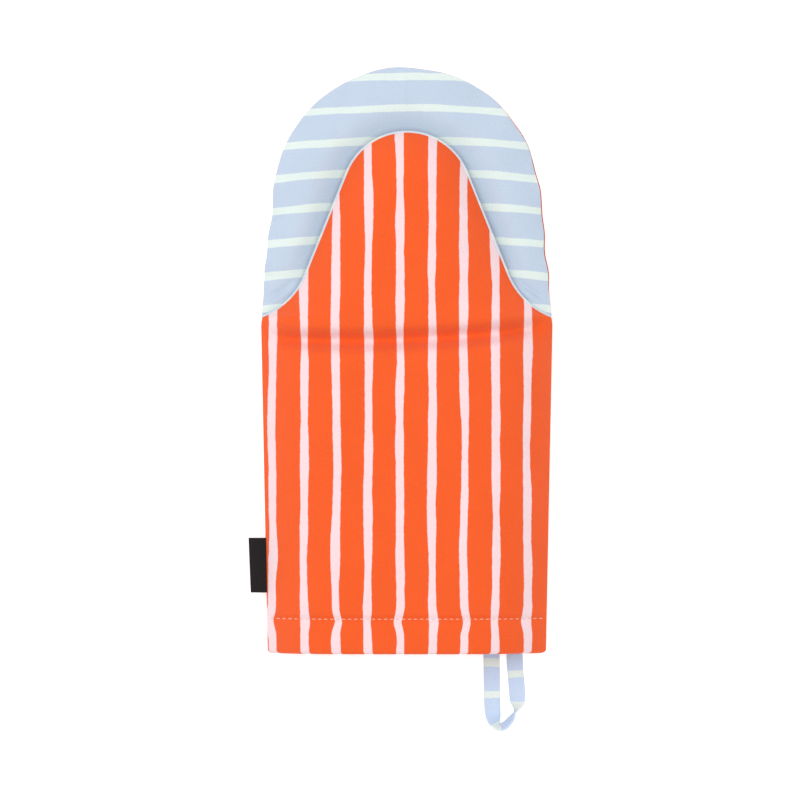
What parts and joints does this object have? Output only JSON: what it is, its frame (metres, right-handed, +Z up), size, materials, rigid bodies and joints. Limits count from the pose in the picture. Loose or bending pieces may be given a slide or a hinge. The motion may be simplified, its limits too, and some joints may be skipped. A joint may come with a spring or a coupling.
{
  "type": "oven mitt",
  "caption": "Padded cloth oven mitt with a round finger pocket, a tongue-shaped thumb pocket that opens like a jaw, a hemmed cuff and a hanging loop.",
  "frame": {"origin": "middle of the part's box on the table, the mitt lying on its back", "axes": "+Y from the hem to the fingertips, +X to the right seen from the front, +Z up out of the thumb side"},
  "size_m": [0.1612, 0.3524, 0.03],
  "materials": {
    "striped_cloth": "matt woven cotton, orange-red with off-white stripes",
    "facing_cloth": "matt woven cotton, light blue with off-white stripes",
    "wadding": "white fibre wadding",
    "lining": "plain off-white woven lining",
    "thread": "off-white sewing thread",
    "label_weave": "black satin-woven tape"
  },
  "bodies": {
    "mitt": {"back_panel": "striped_cloth", "back_wadding": "wadding", "back_lining": "lining", "cuff_panel": "striped_cloth", "cuff_wadding": "wadding", "cuff_lining": "lining", "finger_palm_facing": "facing_cloth", "finger_palm_wadding": "wadding", "finger_palm_lining": "lining", "hem_stitching": "thread", "loop_tails": "facing_cloth"},
    "thumb": {"thumb_panel": "striped_cloth", "thumb_wadding": "wadding", "thumb_lining": "lining", "thumb_palm_facing": "facing_cloth", "thumb_palm_wadding": "wadding", "thumb_palm_lining": "lining"},
    "loop": {"hanging_loop": "facing_cloth"},
    "label": {"side_label": "label_weave"}
  },
  "joints": [
    {"name": "thumb_open", "type": "hinge", "parent": "mitt", "child": "thumb", "pos_m": [0, 0.04225, 0.03], "axis": [1, 0, 0], "range_deg": [0, 90]},
    {"name": "loop_swing", "type": "hinge", "parent": "mitt", "child": "loop", "pos_m": [0.05511, -0.13405, 0.0027], "axis": [-1, 0, 0], "range_deg": [0, 90]},
    {"name": "label_flap", "type": "hinge", "parent": "mitt", "child": "label", "pos_m": [-0.0714, -0.08725, 0.008], "axis": [0, 1, 0], "range_deg": [-40, 40], "stiffness_Nm_per_rad": 0.0005}
  ]
}
